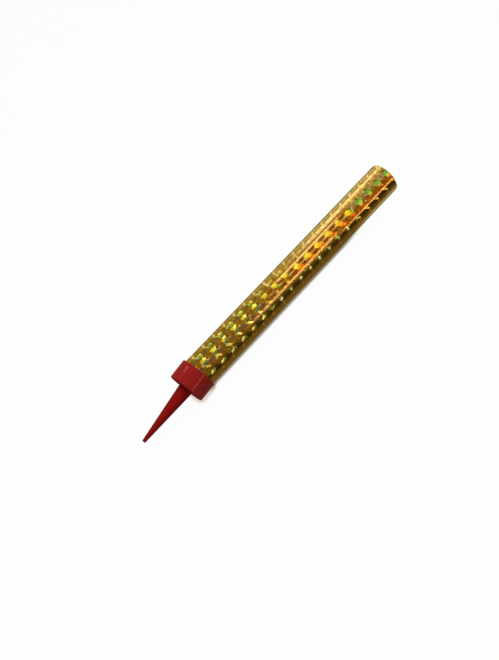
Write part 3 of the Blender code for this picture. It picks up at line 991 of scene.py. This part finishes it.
def make_lamp(name, place, aim, width, height, glare, tint=(1, 1, 1), upright=(0, 0, 1), shown_in=None):
    """A rectangular lamp that faces a point, as bright as its glare where it is mirrored.

    One that is shown in a piece lights nothing, and is only seen as a reflection in that piece.
    """
    data = bpy.data.lights.new(name, "AREA")
    data.shape = "RECTANGLE"
    data.size = width
    data.size_y = height
    data.energy = glare * math.pi * width * height
    data.color = tint
    lamp = linked(name, data)
    back = (place - aim).normalized()
    right = Vector(upright).cross(back).normalized()
    lamp.matrix_world = placed(place, right, back.cross(right), back)
    if shown_in:
        lamp.visible_diffuse = False
        receivers = bpy.data.collections.get(shown_in) or bpy.data.collections.new(shown_in)
        if not receivers.objects:
            receivers.objects.link(bpy.data.objects[shown_in])
        lamp.light_linking.receiver_collection = receivers
    return lamp


def seen_rays(rays):
    """1 for what the camera sees itself, in a mirror or through glass."""
    seen = rays.draft.calc("MAXIMUM", rays.sibling("Is Camera Ray"), rays.sibling("Is Glossy Ray"))
    return rays.draft.calc("MAXIMUM", seen, rays.sibling("Is Transmission Ray"))


def make_floor(stage):
    """The pale ground that the tube and cup lie against, behind them here. It isn't there from behind."""
    outward = math.sin(stage.floor_turn) * ACROSS + math.cos(stage.floor_turn) * SIDE
    middle = TUBE.translation + outward * stage.floor_gap
    sideways = ALONG.cross(outward).normalized()
    mesh = bpy.data.meshes.new("pale_floor")
    corners = [middle + stage.floor_size * (u * sideways + v * ALONG) for u, v in ((1, -1), (-1, -1), (-1, 1), (1, 1))]
    mesh.from_pydata(corners, [], [(0, 1, 2, 3)])
    floor = linked("pale_floor", mesh)

    # White, with a painted contact shadow beside the object: a soft darker edge that is pale at the cup and ends near
    # the fire end
    draft = Finish("pale_floor")
    white = (1, 1, 1)
    rays = draft.node("ShaderNodeLightPath")
    openness = draft.node("ShaderNodeAmbientOcclusion", {"Distance": stage.contact}, "AO", samples=16)
    clear_view = draft.calc("MAXIMUM", draft.rise(openness, 0.6, 0.95), 1 - rays.sibling("Is Camera Ray"))
    height = draft.parts(draft.own_place())[2]
    at_tube = draft.rise(height, CUP_HIGH.z / 2, CUP_HIGH.z * 1.2)
    shade = draft.blend(at_tube, srgb(226, 214, 204), srgb(132, 119, 100))
    shade = draft.blend(draft.rise(height, stage.contact_end - 16 * MM, stage.contact_end), shade, white)
    glow = draft.node("ShaderNodeEmission", {"Color": draft.blend(clear_view, shade, white), "Strength": 1.0})
    matte = draft.node("ShaderNodeBsdfDiffuse", {"Color": (0.5, 0.5, 0.5)})
    lit = seen_rays(rays) * (1 - stage.floor_shade)
    shown = draft.node("ShaderNodeMixShader", {0: lit, 1: matte, 2: glow})
    from_behind = draft.node("ShaderNodeNewGeometry", output="Backfacing")
    clear = draft.node("ShaderNodeBsdfTransparent")
    shown = draft.node("ShaderNodeMixShader", {0: from_behind, 1: shown, 2: clear})
    draft.tree.links.new(shown.socket, draft.tree.nodes["Material Output"].inputs["Surface"])
    mesh.materials.append(draft.material)


def make_world(stage):
    """Even light from all round, and white wherever the ground behind is seen."""
    world = bpy.data.worlds.new("studio")
    bpy.context.scene.world = world
    world.use_nodes = True
    draft = Draft(world.node_tree)
    level = draft.rise(seen_rays(draft.node("ShaderNodeLightPath")), 0, 1, stage.ambient, 1.0)
    background = world.node_tree.nodes["Background"]
    background.inputs["Color"].default_value = (1, 1, 1, 1)
    draft.tree.links.new(level.socket, background.inputs["Strength"])


# The main lamp's direction from the tube's middle, its distance, and its width and height
KEY_WAY = (-42, 14)
KEY_DISTANCE = 0.7
KEY_SIZE = 0.3
# The mirrored lamps. A window has its direction from the tube's middle, its width, its height and its glare. A line
# runs from one direction to another as seen from the middle of what mirrors it, and has its width, glare and tint.
WARM = srgb(255, 232, 214)
WINDOWS = (
    ("window", (-83, 36), 0.29, 0.17, 1.0),
    ("window_low", (-83, 27), 0.29, 0.16, 0.5),
)
FOIL_LINES = (
    ("left_line", (-52, 17), (-47, 33), 0.070, 2.0, WARM),
    ("main_line", (26, 9), (27, 21.5), 0.050, 8.5, WARM),
    ("far_line", (44, 23), (46, 29.5), 0.035, 8.5, WARM),
    ("end_line", (46, 29.5), (56, 31), 0.030, 6.0, WARM),
    ("low_line", (-20.8, 0.6), (-20.4, 6), 0.030, 2.0, WARM),
    ("thin_line", (-14, 9), (-13, 21), 0.018, 3.0, srgb(255, 248, 214)),
)
CUP_LINES = (
    ("cup_line", (29, 2), (36, 5.6), 0.14, 15, srgb(255, 168, 92)),
    ("cup_streak", (-85, 3.75), (-68, 3.75), 0.005, 52, srgb(255, 150, 155)),
)


def make_lights(stage):
    """A soft key from the left, and lamps that only show in the foil and the plastic as its highlights."""
    reach = stage.lamp_distance
    middle = TUBE @ Vector((0, 0, TUBE_LENGTH / 2))
    cup = Vector((0, 0, CUP_HIGH.z / 2))
    key = make_lamp("key", middle + direction(*KEY_WAY) * KEY_DISTANCE, middle, KEY_SIZE, KEY_SIZE, stage.key)
    key.visible_glossy = False
    for name, way, width, height, glare in WINDOWS:
        make_lamp(name, middle + direction(*way) * reach, middle, width, height, glare, shown_in="foil_sleeve")
    for mirror, aim, lines in (("foil_sleeve", middle, FOIL_LINES), ("moulded_cup", cup, CUP_LINES)):
        for name, start, end, width, glare, tint in lines:
            first, last = aim + direction(*start) * reach, aim + direction(*end) * reach
            line = last - first
            make_lamp(name, (first + last) / 2, aim, width, line.length, glare, tint, line, mirror)


def make_stage(stage):
    """Camera, floor, world and lamps, with plain view settings."""
    bpy.context.scene.view_settings.view_transform = "Standard"
    make_camera(stage)
    make_floor(stage)
    make_world(stage)
    make_lights(stage)


class FOUNTAIN_OT_cup(bpy.types.Operator):
    """Make the moulded cup with its spike"""

    bl_idname = "fountain.cup"
    bl_label = "Cup"

    def execute(self, context):
        make_cup(context.scene.fountain_cup)
        return {"FINISHED"}


class FOUNTAIN_OT_foil(bpy.types.Operator):
    """Make the foil sleeve"""

    bl_idname = "fountain.foil"
    bl_label = "Foil"

    def execute(self, context):
        make_foil(context.scene.fountain_foil)
        return {"FINISHED"}


class FOUNTAIN_OT_casing(bpy.types.Operator):
    """Make the rolled paper tube"""

    bl_idname = "fountain.casing"
    bl_label = "Paper tube"

    def execute(self, context):
        make_casing(context.scene.fountain_tube)
        return {"FINISHED"}


class FOUNTAIN_OT_fills(bpy.types.Operator):
    """Make the choke and finish the pressed fills"""

    bl_idname = "fountain.fills"
    bl_label = "Choke and fills"

    def execute(self, context):
        make_fills(context.scene.fountain_tube)
        return {"FINISHED"}


class FOUNTAIN_OT_fuse(bpy.types.Operator):
    """Make the twisted fuse"""

    bl_idname = "fountain.fuse"
    bl_label = "Fuse"

    def execute(self, context):
        make_fuse(context.scene.fountain_fuse)
        return {"FINISHED"}


class FOUNTAIN_OT_stage(bpy.types.Operator):
    """Make the camera, floor and light"""

    bl_idname = "fountain.stage"
    bl_label = "Stage"

    def execute(self, context):
        make_stage(context.scene.fountain_stage)
        return {"FINISHED"}


GROUPS = {
    "fountain_cup": CupProperties,
    "fountain_foil": FoilProperties,
    "fountain_tube": TubeProperties,
    "fountain_fuse": FuseProperties,
    "fountain_stage": StageProperties,
}
OPERATORS = (
    FOUNTAIN_OT_cup, FOUNTAIN_OT_foil, FOUNTAIN_OT_casing, FOUNTAIN_OT_fills, FOUNTAIN_OT_fuse, FOUNTAIN_OT_stage,
)


class FOUNTAIN_PT_panel(bpy.types.Panel):
    """Lists the pieces, and their sizes and colours"""

    bl_label = "Cake fountain"
    bl_idname = "FOUNTAIN_PT_panel"
    bl_space_type = "VIEW_3D"
    bl_region_type = "UI"
    bl_category = "Cake fountain"

    def draw(self, context):
        for operator in OPERATORS:
            self.layout.operator(operator.bl_idname)
        for name, group in GROUPS.items():
            box = self.layout.box()
            box.label(text=group.__doc__)
            for key in group.__annotations__:
                box.prop(getattr(context.scene, name), key)


CLASSES = (*GROUPS.values(), *OPERATORS, FOUNTAIN_PT_panel)


def register():
    for made in CLASSES:
        bpy.utils.register_class(made)
    for name, group in GROUPS.items():
        setattr(bpy.types.Scene, name, PointerProperty(type=group))


def unregister():
    for name in GROUPS:
        delattr(bpy.types.Scene, name)
    for made in reversed(CLASSES):
        bpy.utils.unregister_class(made)


def main():
    register()
    bpy.ops.fountain.cup()
    bpy.ops.fountain.foil()
    bpy.ops.fountain.casing()
    bpy.ops.fountain.fills()
    bpy.ops.fountain.fuse()
    bpy.ops.fountain.stage()


if __name__ == "__main__":
    main()
